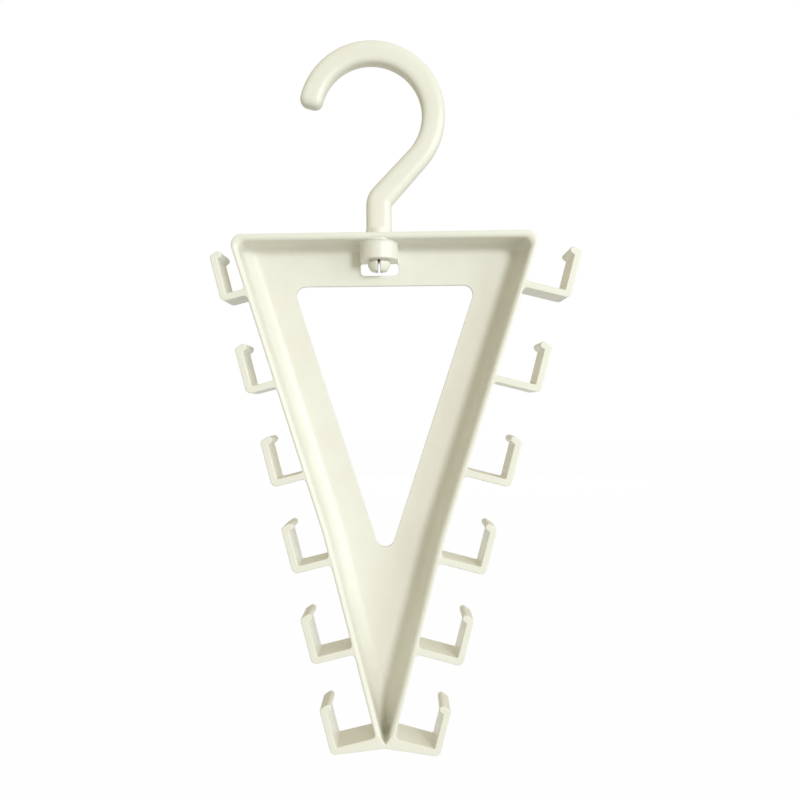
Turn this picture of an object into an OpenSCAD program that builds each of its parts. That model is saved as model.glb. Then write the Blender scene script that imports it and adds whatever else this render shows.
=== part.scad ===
// Tie hanger: a moulded triangular tray with twelve tie arms, hung from a swivelling hook.
// Millimetres, +Z up, front towards -Y, origin on the rail under the crown of the hook.

/* [Sub-part] */
// Sub-part to draw on its own, or all

/* [Hook rod] */
// Diameter of the round hook rod
rod_d = 10.2; // [9.6:0.1:11]
// Middle radius of the long bend behind the crown
back_bend_r = 26.8; // [25:0.1:32]
// Middle radius of the bend from the crown to the tip
tip_bend_r = 25.3; // [23:0.1:30]
// How far the tip stops above its bend centre, in degrees
tip_angle = 13; // [0:1:40]
// Length of the blunt tip beyond the bend
tip_l = 3.4; // [2.8:0.1:5]
// Edge radius of the blunt tip
tip_edge_r = 2.6; // [1.5:0.1:2.8]
// Lean of the straight run that joins the bend to the shank
run_lean = 42.6; // [38:0.2:48]
// Sideways step from the crown to the shank
shank_step = 3.7; // [0:0.1:5]
// Height from the rail down to the top of the tray
hook_height = 72; // [70:0.5:85]

/* [Swivel] */
// Diameter of the neck that turns in the boss
neck_d = 8; // [7:0.1:8.4]
// Radial running clearance of the neck in its bore
swivel_play = 0.08; // [0.03:0.01:0.1]
// Gap along the axis at each end of the boss
end_play = 0.3; // [0.2:0.05:0.5]
// Diameter of the collar at the foot of the shank
collar_d = 11; // [10.6:0.1:12]
// Height of the collar
collar_h = 5; // [2:0.5:7]
// Largest diameter of the snap barb
barb_d = 9.5; // [9.2:0.1:10]
// Diameter at the foot of the snap barb
barb_foot_d = 7; // [6:0.1:8]
// Height of the snap barb
barb_h = 4.4; // [3.5:0.1:4.8]
// Width of the slot that splits the barb
barb_slot = 1; // [0.6:0.1:1.4]
// How far the slot runs up the neck above the barb
slot_rise = 5; // [3:0.5:8]

/* [Tray] */
// Depth of the tray from its rim to its back
tray_depth = 18; // [17:0.5:22]
// Half of the width at the top edge, before rounding
top_half_w = 64.9; // [60:0.5:72]
// Half of the width where the sides bend
bend_half_w = 25.4; // [24:0.1:27]
// Half of the width at the foot
foot_half_w = 3; // [2.6:0.1:3.6]
// Height of the whole tray
tray_h = 212.2; // [191:0.1:237]
// Where the sides bend below the top edge, as a share of the tray's height
side_bend_share = 0.587; // [0.57:0.001:0.6]
// Thickness of the side walls
wall = 2.4; // [2:0.1:2.8]
// Thickness of the top flange
flange = 2.9; // [2.2:0.1:3.4]
// Thickness of the web at the back
web = 2.4; // [1.8:0.1:3]
// Radius of the cove between web and walls
cove_r = 4.5; // [2:0.5:6]
// Radius of the two top corners
corner_r = 4.4; // [2:0.2:6]

/* [Cut-out and window] */
// Depth below the top edge at which the cut-out starts
cut_top = 20.1; // [19.5:0.1:24]
// Half of the cut-out's width at its top, before rounding
cut_half_w = 39.5; // [34:0.5:42]
// Where the cut-out's sides would meet, as a share of the tray's height
cut_foot_share = 0.666; // [0.62:0.001:0.68]
// Corner radius of the cut-out
cut_r = 4; // [2:0.5:6]
// Width of the window under the boss
window_w = 16.4; // [14:0.1:18]
// Height of the window
window_h = 5.3; // [5:0.1:6]
// Corner radius of the window
window_r = 2; // [1:0.1:2.4]

/* [Boss] */
// How far the boss sits beside the middle of the tray
boss_shift = 1.9; // [0:0.1:4]
// Outer diameter of the boss
boss_d = 16; // [14:0.2:16.4]
// Depth of the boss below the top edge
boss_drop = 10.4; // [9:0.1:11]

/* [Tie arms] */
// Thickness of the arm strip
arm_t = 2.9; // [2:0.1:3.2]
// Lean of the arms, in degrees
arm_lean = 14.4; // [12:0.2:16]
// Length of an arm's upright
arm_h = 19.7; // [17:0.1:22]
// Length of the lip at the top of an arm
lip_l = 4.7; // [3.8:0.1:5.2]
// Upward tilt of the lip from the strip, in degrees
lip_tilt = 20; // [10:1:30]
// Outer radius of an arm's heel
heel_r = 2.5; // [1.5:0.1:3]
// Radius of the fillets where an arm meets the wall
root_r = 1.5; // [0.8:0.1:2]
// Reach of the lowest arms from the wall, and of all arms on the right
arm_reach = 20.3; // [18:0.1:23]
// Reach of the top arm on the left
left_top_reach = 11.4; // [10.8:0.1:22]
// Drop of the first row of arms below the top edge
first_row = 28.2; // [27:0.1:32]
// Drop of the lowest heels below the tray's foot
foot_heel = 3.9; // [2:0.1:4.5]
// Depth of the arch below the tray's foot where the lowest arms meet
foot_arch = 0.5; // [0.4:0.1:1.2]
// Spacing of the three upper rows, as a share of the drop from the first row to the last
upper_pitch_share = 0.2054; // [0.2:0.0002:0.208]
// Spacing of the three lower rows, as a share of the same drop
lower_pitch_share = 0.199; // [0.194:0.0002:0.202]

/* [Colours] */
// Colour of the ivory plastic
ivory = "#EDEBDD";
// Colour of the hook's plastic
hook_ivory = "#ECEADB";

/* [Hidden] */

rod_r = rod_d / 2;
knee_r = rod_r + 0.4;
ball_over = 0.05;
back_z = rod_r - back_bend_r;
tip_z = rod_r - tip_bend_r;
run_x = back_bend_r * cos(run_lean);
run_z = back_z - back_bend_r * sin(run_lean);
run_to_axis = (run_x - shank_step) / sin(run_lean);
knee_cut = knee_r * tan(run_lean / 2);
run_l = run_to_axis - knee_cut;
knee_z = run_z - run_to_axis * cos(run_lean) - knee_cut;

top_z = -hook_height;
collar_z = top_z + end_play;
neck_l = boss_drop + 2 * end_play;
barb_z = top_z - boss_drop - end_play;
barb_land = 1.4;
bore_d = neck_d + 2 * swivel_play;
lap = 0.5;

front_y = -tray_depth / 2;
web_y = tray_depth / 2 - web;
mid_x = shank_step + boss_shift;
side_bend = tray_h * side_bend_share;
upper_slope = (top_half_w - bend_half_w) / side_bend;
lower_slope = (bend_half_w - foot_half_w) / (tray_h - side_bend);
upper_angle = atan(upper_slope);
lower_angle = atan(lower_slope);
pocket_foot = tray_h - flange;
pocket_r = corner_r - wall / 2;
cut_foot = tray_h * cut_foot_share;
cut_angle = atan(cut_half_w / (cut_foot - cut_top));

rows = 6;
upper_rows = 3;
last_row = tray_h + foot_heel;
upper_pitch = upper_pitch_share * (last_row - first_row);
lower_pitch = lower_pitch_share * (last_row - first_row);

function half_w(drop) = drop < side_bend
    ? top_half_w - upper_slope * drop
    : bend_half_w - lower_slope * (drop - side_bend);

function arc(x, z, r, a0, a1, n) =
    [for (i = [0:n]) let (a = a0 + (a1 - a0) * i / n) [x + r * cos(a), z + r * sin(a)]];

// Points of the tray's outline set in by a side gap and a top gap, down to a foot
function outline(side_gap, top_gap, foot, r) =
    let (
        gu = side_gap / cos(upper_angle),
        gl = side_gap / cos(lower_angle),
        z1 = -top_gap,
        x1 = top_half_w - upper_slope * top_gap - gu,
        inset = r * tan((90 + upper_angle) / 2),
        xm = (bend_half_w - gu + bend_half_w - gl) / 2,
        xf = half_w(foot) - gl,
        right = concat(
            arc(x1 - inset, z1 - r, r, 90, -upper_angle, 8),
            [[xm, -side_bend], [xf, -foot]])
    )
    concat(right, [for (i = [len(right) - 1:-1:0]) [-right[i][0], right[i][1]]]);

// Points of the cut-out: two rounded top corners and a rounded foot
function cut_outline() =
    let (
        inset = cut_r * tan((90 + cut_angle) / 2),
        right = arc(cut_half_w - inset, -cut_top - cut_r, cut_r, 90, -cut_angle, 8),
        foot = arc(0, -cut_foot + cut_r / sin(cut_angle), cut_r, -cut_angle, cut_angle - 180, 12)
    )
    concat(right, foot, [for (i = [len(right) - 1:-1:0]) [-right[i][0], right[i][1]]]);

// Stands a flat shape drawn in X and Z up between two depths
module slab(y0, y1) {
    translate([0, y1, 0])
        rotate([90, 0, 0])
            linear_extrude(height = y1 - y0)
                children();
}

module rod_bend(x, z, r, from, turn) {
    translate([x, 0, z])
        rotate([90, 0, 0])
            rotate([0, 0, from])
                rotate_extrude(angle = turn, $fn = 96)
                    translate([r, 0])
                        circle(d = rod_d, $fn = 48);
}

// Ball that joins two lengths of the rod
module rod_ball(x, z) {
    translate([x, 0, z])
        sphere(r = rod_r + ball_over, $fn = 96);
}

// Blunt tip with a rounded edge, along the end of the bend
module rod_tip() {
    r = rod_r + ball_over;
    translate([-tip_bend_r * cos(tip_angle), 0, tip_z + tip_bend_r * sin(tip_angle)])
        rotate([0, 180 + tip_angle, 0])
            translate([0, 0, -lap])
                rotate_extrude($fn = 96)
                    polygon(concat(
                        [[0, 0], [r, 0]],
                        arc(r - tip_edge_r, lap + tip_l - tip_edge_r, tip_edge_r, 0, 90, 9),
                        [[0, lap + tip_l]]));
}

module hook_rod() {
    rod_tip();
    rod_bend(0, tip_z, tip_bend_r, 90, 90 - tip_angle);
    rod_ball(0, rod_r);
    rod_bend(0, back_z, back_bend_r, -run_lean, 90 + run_lean);
    rod_ball(run_x, run_z);
    translate([run_x, 0, run_z])
        rotate([0, 180 + run_lean, 0])
            cylinder(d = rod_d, h = run_l, $fn = 48);
    rod_ball(run_x - run_l * sin(run_lean), run_z - run_l * cos(run_lean));
    rod_bend(shank_step + knee_r, knee_z, knee_r, 180 - run_lean, run_lean);
    rod_ball(shank_step, knee_z);
    translate([shank_step, 0, collar_z + lap])
        cylinder(d = rod_d, h = knee_z - collar_z - lap, $fn = 48);
}

// Collar, neck and barb turn about the shank's axis
module hook_foot() {
    translate([shank_step, 0, collar_z])
        cylinder(d = collar_d, h = collar_h, $fn = 48);
    translate([shank_step, 0, collar_z - neck_l - lap])
        cylinder(d = neck_d, h = neck_l + 2 * lap, $fn = 48);
    translate([shank_step, 0, barb_z - barb_h])
        rotate_extrude($fn = 48)
            polygon([
                [0, 0], [barb_foot_d / 2, 0],
                [barb_d / 2, barb_h - barb_land], [barb_d / 2, barb_h], [0, barb_h]]);
}

module swivel_hook() color(hook_ivory) {
    difference() {
        union() {
            hook_rod();
            hook_foot();
        }
        translate([shank_step - barb_slot / 2, -barb_d, barb_z - barb_h - 1])
            cube([barb_slot, 2 * barb_d, barb_h + slot_rise + 1]);
    }
}

// Coves under the flange and down both side walls; each run stops just past the bend
module coves() {
    past = 0.2;
    gu = wall / cos(upper_angle);
    gl = wall / cos(lower_angle);
    upper_l = side_bend / cos(upper_angle) + past;
    lower_l = (tray_h - side_bend) / cos(lower_angle) + past;
    translate([-top_half_w, 0, -flange])
        cove_run(0, 2 * top_half_w, 0);
    for (s = [0, 1])
        mirror([s, 0, 0]) {
            translate([top_half_w - gu, 0, 0])
                cove_run(1, upper_l, upper_angle);
            translate([half_w(tray_h) - gl, 0, -tray_h])
                cove_run(2, lower_l, lower_angle);
        }
}

// Profile of a cove with the wall on its upper side: depth across, height up
module cove_profile() {
    bite = 0.4;
    polygon(concat(
        [[web_y + bite, bite], [web_y - cove_r, bite]],
        arc(web_y - cove_r, -cove_r, cove_r, 90, 0, 7),
        [[web_y + bite, -cove_r]]));
}

// Run kinds: 0 under the flange, 1 down the upper wall, 2 up the lower wall
module cove_run(kind, length, angle) {
    if (kind == 0)
        rotate([90, 0, 90])
            linear_extrude(height = length)
                cove_profile();
    if (kind == 1)
        rotate([0, 90 + angle, 0])
            rotate([90, 0, 90])
                linear_extrude(height = length)
                    cove_profile();
    if (kind == 2)
        rotate([0, 90 + angle, 0])
            translate([-length, 0, 0])
                rotate([90, 0, 90])
                    linear_extrude(height = length)
                        cove_profile();
}

module tray_body() {
    difference() {
        slab(front_y, -front_y)
            polygon(outline(0, 0, tray_h, corner_r));
        slab(front_y - 1, web_y)
            polygon(outline(wall, flange, pocket_foot, pocket_r));
    }
    intersection() {
        slab(front_y + 1, -front_y)
            polygon(outline(wall / 2, flange / 2, tray_h - 1, pocket_r));
        coves();
    }
}

module boss() {
    translate([-boss_shift, 0, -boss_drop])
        cylinder(d = boss_d, h = boss_drop - flange / 2, $fn = 64);
    translate([-boss_shift - boss_d / 2, 0, -boss_drop])
        cube([boss_d, web_y + web / 2, boss_drop - flange / 2]);
}

module window_shape() {
    x0 = -boss_shift - window_w / 2 + window_r;
    x1 = -boss_shift + window_w / 2 - window_r;
    z0 = -boss_drop - window_h;
    polygon(concat(
        arc(x0, z0 + window_r, window_r, 180, 270, 6),
        arc(x1, z0 + window_r, window_r, 270, 360, 6),
        arc(x1, z0 + window_h - 1, 1, 0, 90, 4),
        arc(x0, z0 + window_h - 1, 1, 90, 180, 4)));
}

module frame_tray() color(ivory) {
    translate([mid_x, 0, top_z])
        difference() {
            union() {
                tray_body();
                boss();
            }
            slab(web_y - cove_r - 1, -front_y + 1)
                polygon(cut_outline());
            slab(web_y - 1, -front_y + 1)
                window_shape();
            translate([-boss_shift, 0, -boss_drop - 1])
                cylinder(d = bore_d, h = boss_drop + 2, $fn = 48);
        }
}

// Points of an arm from its heel: strip along X, upright along Z, lip back over the strip.
// The lowest arms run on to a point under the tray's foot, where they meet
function arm_points(strip_l, foot) =
    let (
        bend_r = 1.4,
        bend_in = bend_r * tan((90 - lip_tilt) / 2),
        ex = cos(lip_tilt),
        ez = sin(lip_tilt),
        tip_r = arm_t / 2,
        tip_x = (lip_l - tip_r) * ex + tip_r * ez,
        tip_y = arm_h + (lip_l - tip_r) * ez - tip_r * ex,
        end_x = strip_l + 2,
        under = is_undef(foot)
            ? concat([[end_x, -root_r]], arc(strip_l - root_r, -root_r, root_r, 0, 90, 5))
            : [[foot[0], foot[1] + 2 * lap], foot]
    )
    concat(
        under,
        arc(heel_r, heel_r, heel_r, 270, 180, 6),
        arc(bend_r, arm_h - bend_in, bend_r, 180, 90 + lip_tilt, 5),
        arc(tip_x, tip_y, tip_r, 90 + lip_tilt, lip_tilt - 90, 8),
        [[arm_t, arm_h - arm_t * (1 - ez) / ex]],
        arc(arm_t + 0.5, arm_t + 0.5, 0.5, 180, 270, 3),
        arc(strip_l - root_r, arm_t + root_r, root_r, 270, 360, 5),
        [[end_x, arm_t + root_r]]);

function row_drop(row) = row < upper_rows
    ? first_row + row * upper_pitch
    : last_row - (rows - 1 - row) * lower_pitch;

function reach(side, row) = side > 0
    ? arm_reach
    : left_top_reach + (arm_reach - left_top_reach) * row / (rows - 1);

// One arm on the left (-1) or right (1), trimmed where it meets the tray's outer wall
module tie_arm(side, row) {
    drop = row_drop(row);
    out = half_w(drop) + reach(side, row);
    slope = drop < side_bend ? upper_slope : lower_slope;
    strip_l = reach(side, row) / (cos(arm_lean) + slope * sin(arm_lean));
    across = out + lap;
    rise = drop - tray_h - foot_arch;
    foot = row < rows - 1
        ? undef
        : [across * cos(arm_lean) + rise * sin(arm_lean),
            rise * cos(arm_lean) - across * sin(arm_lean)];
    translate([mid_x, 0, top_z])
        mirror([side > 0 ? 1 : 0, 0, 0])
            difference() {
                translate([-out, 0, -drop])
                    rotate([0, -arm_lean, 0])
                        slab(front_y, -front_y)
                            polygon(arm_points(strip_l, foot));
                slab(front_y - 1, -front_y + 1)
                    polygon(outline(0, 0, tray_h, corner_r));
                translate([0, front_y - 1, -tray_h - arm_h])
                    cube([top_half_w, tray_depth + 2, tray_h]);
            }
}

module tie_arm_left_1() color(ivory) tie_arm(-1, 0);
module tie_arm_left_2() color(ivory) tie_arm(-1, 1);
module tie_arm_left_3() color(ivory) tie_arm(-1, 2);
module tie_arm_left_4() color(ivory) tie_arm(-1, 3);
module tie_arm_left_5() color(ivory) tie_arm(-1, 4);
module tie_arm_left_6() color(ivory) tie_arm(-1, 5);
module tie_arm_right_1() color(ivory) tie_arm(1, 0);
module tie_arm_right_2() color(ivory) tie_arm(1, 1);
module tie_arm_right_3() color(ivory) tie_arm(1, 2);
module tie_arm_right_4() color(ivory) tie_arm(1, 3);
module tie_arm_right_5() color(ivory) tie_arm(1, 4);
module tie_arm_right_6() color(ivory) tie_arm(1, 5);

swivel_hook();
frame_tray();
tie_arm_left_1();
tie_arm_left_2();
tie_arm_left_3();
tie_arm_left_4();
tie_arm_left_5();
tie_arm_left_6();
tie_arm_right_1();
tie_arm_right_2();
tie_arm_right_3();
tie_arm_right_4();
tie_arm_right_5();
tie_arm_right_6();
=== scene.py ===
# %% [markdown]
# # A moulded tie hanger
# The real object is two plastic mouldings: a hook that turns, and a triangular tray with twelve
# tie arms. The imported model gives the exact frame. This lesson builds softer, moulded looking
# pieces around it, because a real moulding has rounded edges that catch the light, and the plain
# solids have none. Every length of the part is written in millimetres and turned into metres at
# the end of each piece. The studio around it is in metres.

# %% Load the frame
import math

import bmesh
import bpy
from mathutils import Matrix, Vector


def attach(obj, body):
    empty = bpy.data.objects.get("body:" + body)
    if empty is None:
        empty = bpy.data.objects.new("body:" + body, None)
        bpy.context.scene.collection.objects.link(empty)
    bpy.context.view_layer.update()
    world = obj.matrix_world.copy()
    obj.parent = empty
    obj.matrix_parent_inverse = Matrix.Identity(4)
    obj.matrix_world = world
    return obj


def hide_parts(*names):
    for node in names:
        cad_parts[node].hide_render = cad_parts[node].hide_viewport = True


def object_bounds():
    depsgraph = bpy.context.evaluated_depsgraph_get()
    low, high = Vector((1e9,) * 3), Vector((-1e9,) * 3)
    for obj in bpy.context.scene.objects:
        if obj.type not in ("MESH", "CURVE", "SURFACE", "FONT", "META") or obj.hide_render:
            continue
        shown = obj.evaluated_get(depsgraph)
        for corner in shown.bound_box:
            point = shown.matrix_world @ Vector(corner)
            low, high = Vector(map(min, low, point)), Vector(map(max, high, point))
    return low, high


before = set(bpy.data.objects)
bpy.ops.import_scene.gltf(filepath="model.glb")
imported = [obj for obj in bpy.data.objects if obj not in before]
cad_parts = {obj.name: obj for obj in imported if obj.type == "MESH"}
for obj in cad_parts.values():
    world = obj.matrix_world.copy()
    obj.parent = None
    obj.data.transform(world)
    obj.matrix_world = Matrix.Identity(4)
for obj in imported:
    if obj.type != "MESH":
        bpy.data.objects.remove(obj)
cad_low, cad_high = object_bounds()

MM = 0.001
print("CAD box, mm:", [round(v / MM, 1) for v in (*cad_low, *cad_high)])

# %% [markdown]
# ## The photographer's camera
# The picture was taken from close in front, a little right of the tray's middle and half way
# down the hanger, so the depth of the arms shows. Place, turn and focal length come from fitting
# the tray's corners and the arms' heels. A small sensor shift stands for the way the picture
# was cropped.

# %% Camera
CAMERA_AT = (13.9, -351.0, -143.4)
YAW, PITCH, ROLL = math.radians(2.66), math.radians(0.05), math.radians(-0.25)
FOCAL_PX, FRAME_PX, SENSOR = 831.7, 800, 36.0
CENTRE_PX = (365.3, 404.6)


def make_camera():
    side = Vector((math.cos(YAW), math.sin(YAW), 0))
    ahead = Vector((-math.sin(YAW), math.cos(YAW), 0))
    up = Vector((0, 0, 1))
    look = ahead * math.cos(PITCH) + up * math.sin(PITCH)
    rise = up * math.cos(PITCH) - ahead * math.sin(PITCH)
    right = side * math.cos(ROLL) + rise * math.sin(ROLL)
    top = rise * math.cos(ROLL) - side * math.sin(ROLL)
    data = bpy.data.cameras.new("photo_camera")
    data.sensor_width = SENSOR
    data.lens = FOCAL_PX / FRAME_PX * SENSOR
    data.shift_x = (FRAME_PX / 2 - CENTRE_PX[0]) / FRAME_PX
    data.shift_y = (CENTRE_PX[1] - FRAME_PX / 2) / FRAME_PX
    data.clip_start = 0.02
    camera = bpy.data.objects.new("photo_camera", data)
    bpy.context.scene.collection.objects.link(camera)
    turn = Matrix((right, top, -look)).transposed().to_4x4()
    camera.matrix_world = Matrix.Translation(Vector(CAMERA_AT) * MM) @ turn
    bpy.context.scene.camera = camera
    print("lens %.1f mm, shift %.3f %.3f" % (data.lens, data.shift_x, data.shift_y))


make_camera()

# %% [markdown]
# ## Maths on node sockets
# Node trees are easier to read as expressions. `Signal` wraps one output socket, and each
# operator on it adds a Math node, also when the number stands first, as in `1 - mask`. `add`
# makes any other node: its settings come first, then the values or links of its sockets.

# %% A small class for sockets
class Signal:
    def __init__(self, tree, socket):
        self.tree, self.socket = tree, socket

    def maths(self, operation, first, second=0.0, third=0.0):
        values = {0: first, 1: second, 2: third}
        return add(self.tree, "ShaderNodeMath", {"operation": operation}, values)[0]

    def __add__(self, other):
        return self.maths("ADD", self, other)

    def __radd__(self, other):
        return self.maths("ADD", other, self)

    def __sub__(self, other):
        return self.maths("SUBTRACT", self, other)

    def __rsub__(self, other):
        return self.maths("SUBTRACT", other, self)

    def __mul__(self, other):
        return self.maths("MULTIPLY", self, other)

    def __rmul__(self, other):
        return self.maths("MULTIPLY", other, self)

    def __truediv__(self, other):
        return self.maths("DIVIDE", self, other)

    def __gt__(self, other):
        return self.maths("GREATER_THAN", self, other)

    def __lt__(self, other):
        return self.maths("LESS_THAN", self, other)

    def __abs__(self):
        return self.maths("ABSOLUTE", self)

    def smooth(self, low, high):
        """0 below low, 1 above high and a soft step between them."""
        settings = {"interpolation_type": "SMOOTHSTEP"}
        values = {"Value": self, "From Min": low, "From Max": high}
        return add(self.tree, "ShaderNodeMapRange", settings, values)[0]


def add(tree, kind, settings=None, values=None):
    node = tree.nodes.new(kind)
    for name, value in (settings or {}).items():
        setattr(node, name, value)
    for key, value in (values or {}).items():
        socket = node.inputs[key]
        if isinstance(value, Signal):
            tree.links.new(value.socket, socket)
        else:
            socket.default_value = value
    return [Signal(tree, out) for out in node.outputs]


# %% [markdown]
# ## Ivory plastic
# The hanger is semi-gloss polypropylene of a warm ivory. Up close such a skin is never even: the
# mould's spark grain leaves fine dimples, the melt leaves faint cloudy flow bands, the wall sinks
# a little where it is thick, and handled edges turn smoother. Each of these is a weak noise at
# its own scale, read from Object coordinates, so that nothing slides when a piece turns.

# %% Colours and material
def linear(code):
    parts = [int(code[i : i + 2], 16) / 255 for i in (1, 3, 5)]
    return [p / 12.92 if p < 0.04045 else ((p + 0.055) / 1.055) ** 2.4 for p in parts]


def mix_colour(factor, first, second):
    settings = {"data_type": "RGBA", "blend_type": "MIX"}
    colours = [c if isinstance(c, Signal) else (*c, 1) for c in (first, second)]
    return add(factor.tree, "ShaderNodeMix", settings, {0: factor, 6: colours[0], 7: colours[1]})[2]


def noise(tree, where, scale, detail):
    values = {"Vector": where, "Scale": scale, "Detail": detail}
    return add(tree, "ShaderNodeTexNoise", {}, values)[0]


# %% Plastic
# Scales of the four noises: the larger the number, the finer the pattern.
CLOUD, SINK, FLOW, GRAIN = 34, 55, 140, 2600
WORN_COLOUR, WORN_SHARE = "#F1F1E8", 0.35
ROUGHNESS, GRAIN_ROUGH, FLOW_ROUGH, WORN_SMOOTH = 0.37, 0.08, 0.10, 0.05
GRAIN_HIGH, FLOW_HIGH, SINK_HIGH, BUMP_STRENGTH = 0.012, 0.02, 0.35, 0.35
PLASTIC_IOR, SHINE = 1.49, 0.45


def moulded_plastic(name, colour, shade, seed):
    material = bpy.data.materials.new(name)
    material.use_nodes = True
    tree = material.node_tree
    shader = tree.nodes["Principled BSDF"]
    where = add(tree, "ShaderNodeTexCoord")[3]
    moved = add(tree, "ShaderNodeMapping", {}, {"Vector": where, "Location": (seed, 0, 0)})[0]
    handled = add(tree, "ShaderNodeAttribute", {"attribute_name": "handled"})[2]
    cloud = noise(tree, moved, CLOUD, 3)
    flow = noise(tree, moved, FLOW, 2)
    grain = noise(tree, moved, GRAIN, 2)
    sink = noise(tree, moved, SINK, 1)
    tint = cloud.smooth(0.3, 0.72) * 0.7 + flow.smooth(0.35, 0.7) * 0.3
    body = mix_colour(tint, linear(colour), linear(shade))
    worn = mix_colour(handled * WORN_SHARE, body, linear(WORN_COLOUR))
    tree.links.new(worn.socket, shader.inputs["Base Color"])
    rough = ROUGHNESS + (grain - 0.5) * GRAIN_ROUGH + (flow - 0.5) * FLOW_ROUGH
    rough = rough - handled * WORN_SMOOTH
    tree.links.new(rough.socket, shader.inputs["Roughness"])
    height = grain * GRAIN_HIGH + flow * FLOW_HIGH + sink * SINK_HIGH
    values = {"Height": height, "Strength": BUMP_STRENGTH, "Distance": MM}
    normal = add(tree, "ShaderNodeBump", {}, values)[0]
    tree.links.new(normal.socket, shader.inputs["Normal"])
    shader.inputs["IOR"].default_value = PLASTIC_IOR
    shader.inputs["Specular IOR Level"].default_value = SHINE
    print(name, "has", len(tree.nodes), "nodes")
    return material


TRAY_PLASTIC = moulded_plastic("tray_plastic", "#ECEBE2", "#E7E5DB", 0.0)
HOOK_PLASTIC = moulded_plastic("hook_plastic", "#ECEBE2", "#E7E6DB", 0.3)

# %% [markdown]
# ## Outlines as corners
# The tray is one outline shrunk again and again: outer wall, rim, inner wall and cove are all the
# same shape moved inwards. Keeping the corners, moving each edge by its own gap and rounding the
# corners last gives loops with equal numbers of points, and two such loops bridge with clean
# quads. X runs to the right of the tray's middle and D runs down from its top edge.

# %% Corner helpers
SHANK_STEP, BOSS_SHIFT = 3.7, 1.9
MID_X, TOP_Z = SHANK_STEP + BOSS_SHIFT, -72.0
DEPTH, WALL, FLANGE, WEB = 18.0, 2.4, 2.9, 2.4
TRAY_H, TOP_HALF, BEND_HALF, FOOT_HALF = 212.2, 64.9, 25.4, 3.0
BEND_AT = 0.587 * TRAY_H
FRONT_Y, BACK_Y = -DEPTH / 2, DEPTH / 2
WEB_Y = BACK_Y - WEB
ROUNDED_SHARE = 0.48  # a rounding takes at most this much of an edge


def meet(p, a, q, b):
    """Where the line through p along a meets the line through q along b."""
    t = ((q[0] - p[0]) * b[1] - (q[1] - p[1]) * b[0]) / (a[0] * b[1] - a[1] * b[0])
    return (p[0] + a[0] * t, p[1] + a[1] * t)


def inset(corners, gaps):
    """Corners of a clockwise shape whose edges have moved in by their own gaps."""
    moved = []
    for i, p in enumerate(corners):
        q = corners[(i + 1) % len(corners)]
        length = math.hypot(q[0] - p[0], q[1] - p[1])
        along = ((q[0] - p[0]) / length, (q[1] - p[1]) / length)
        into = (-along[1], along[0])
        moved.append(((p[0] + into[0] * gaps[i], p[1] + into[1] * gaps[i]), along))
    return [meet(*moved[i - 1], *moved[i]) for i in range(len(moved))]


def rounded(corners, radii, steps):
    """Loop of points with each corner rounded; a corner gets steps + 1 points."""
    loop = []
    for i, p in enumerate(corners):
        a, b = Vector(corners[i - 1]), Vector(corners[(i + 1) % len(corners)])
        here = Vector(p)
        to_a, to_b = (a - here).normalized(), (b - here).normalized()
        half = to_a.angle(to_b) / 2
        room = ROUNDED_SHARE * (a - here).length, ROUNDED_SHARE * (b - here).length
        reach = min(radii[i] / math.tan(half), *room)
        radius = reach * math.tan(half)
        centre = here + (to_a + to_b).normalized() * (radius / math.sin(half))
        start = here + to_a * reach - centre
        sweep = math.pi - 2 * half
        turn = 1 if to_a.cross(to_b) < 0 else -1
        for k in range(steps[i] + 1):
            angle = turn * sweep * k / steps[i]
            c, s = math.cos(angle), math.sin(angle)
            x = centre.x + start.x * c - start.y * s
            y = centre.y + start.x * s + start.y * c
            loop.append((x, y))
    return loop


def quarter(steps):
    """Angles of a quarter turn in even steps, with both its ends."""
    return [math.pi / 2 * k / steps for k in range(steps + 1)]


def circle(x, other, radius, steps):
    """Points of a circle about (x, other)."""
    turns = [math.tau * k / steps for k in range(steps)]
    return [(x + radius * math.cos(a), other + radius * math.sin(a)) for a in turns]


# %% [markdown]
# ## The tray
# The tray is a shallow triangular pan, open to the front. Its section runs from the back edge
# up the outer wall, over the rounded rim, down the inner wall and through a cove to the flat web.
# Bridged loops give that section everywhere. The flat web and the back are planar, so they are
# filled between their loops, with the big cut-out and the small window left open.

# %% Tray sizes
TRAY_STEPS = (10, 10, 5, 3, 3, 5)
EDGE = 0.55  # rounding round the back
RIM_OUT, RIM_IN = 0.6, 1.75  # rounding of the rim, outside and inside
SIDE_COVE, TOP_COVE, FOOT_COVE = 6.0, 2.8, 1.5
POCKET_FOOT, FOOT_RIM_SHARE = 1.6, 0.6
CORNER_R, SMALLEST_CORNER, SIDE_BEND_R, FOOT_R = 4.4, 1.2, 40, 0.8
# Where the sides meet before the foot, the loop ends in a blunt point.
POINT_HALF, NARROW_HALF, POINT_R = 0.05, 0.06, 0.02
# How far hands have worn a surface, from 0 to 1.
BACK_WORN, RIM_WORN, HOLE_WORN, BOSS_WORN = 0.3, 1.0, 0.5, 0.4


def half_width(drop):
    if drop < BEND_AT:
        return TOP_HALF - (TOP_HALF - BEND_HALF) * drop / BEND_AT
    return BEND_HALF - (BEND_HALF - FOOT_HALF) * (drop - BEND_AT) / (TRAY_H - BEND_AT)


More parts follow.
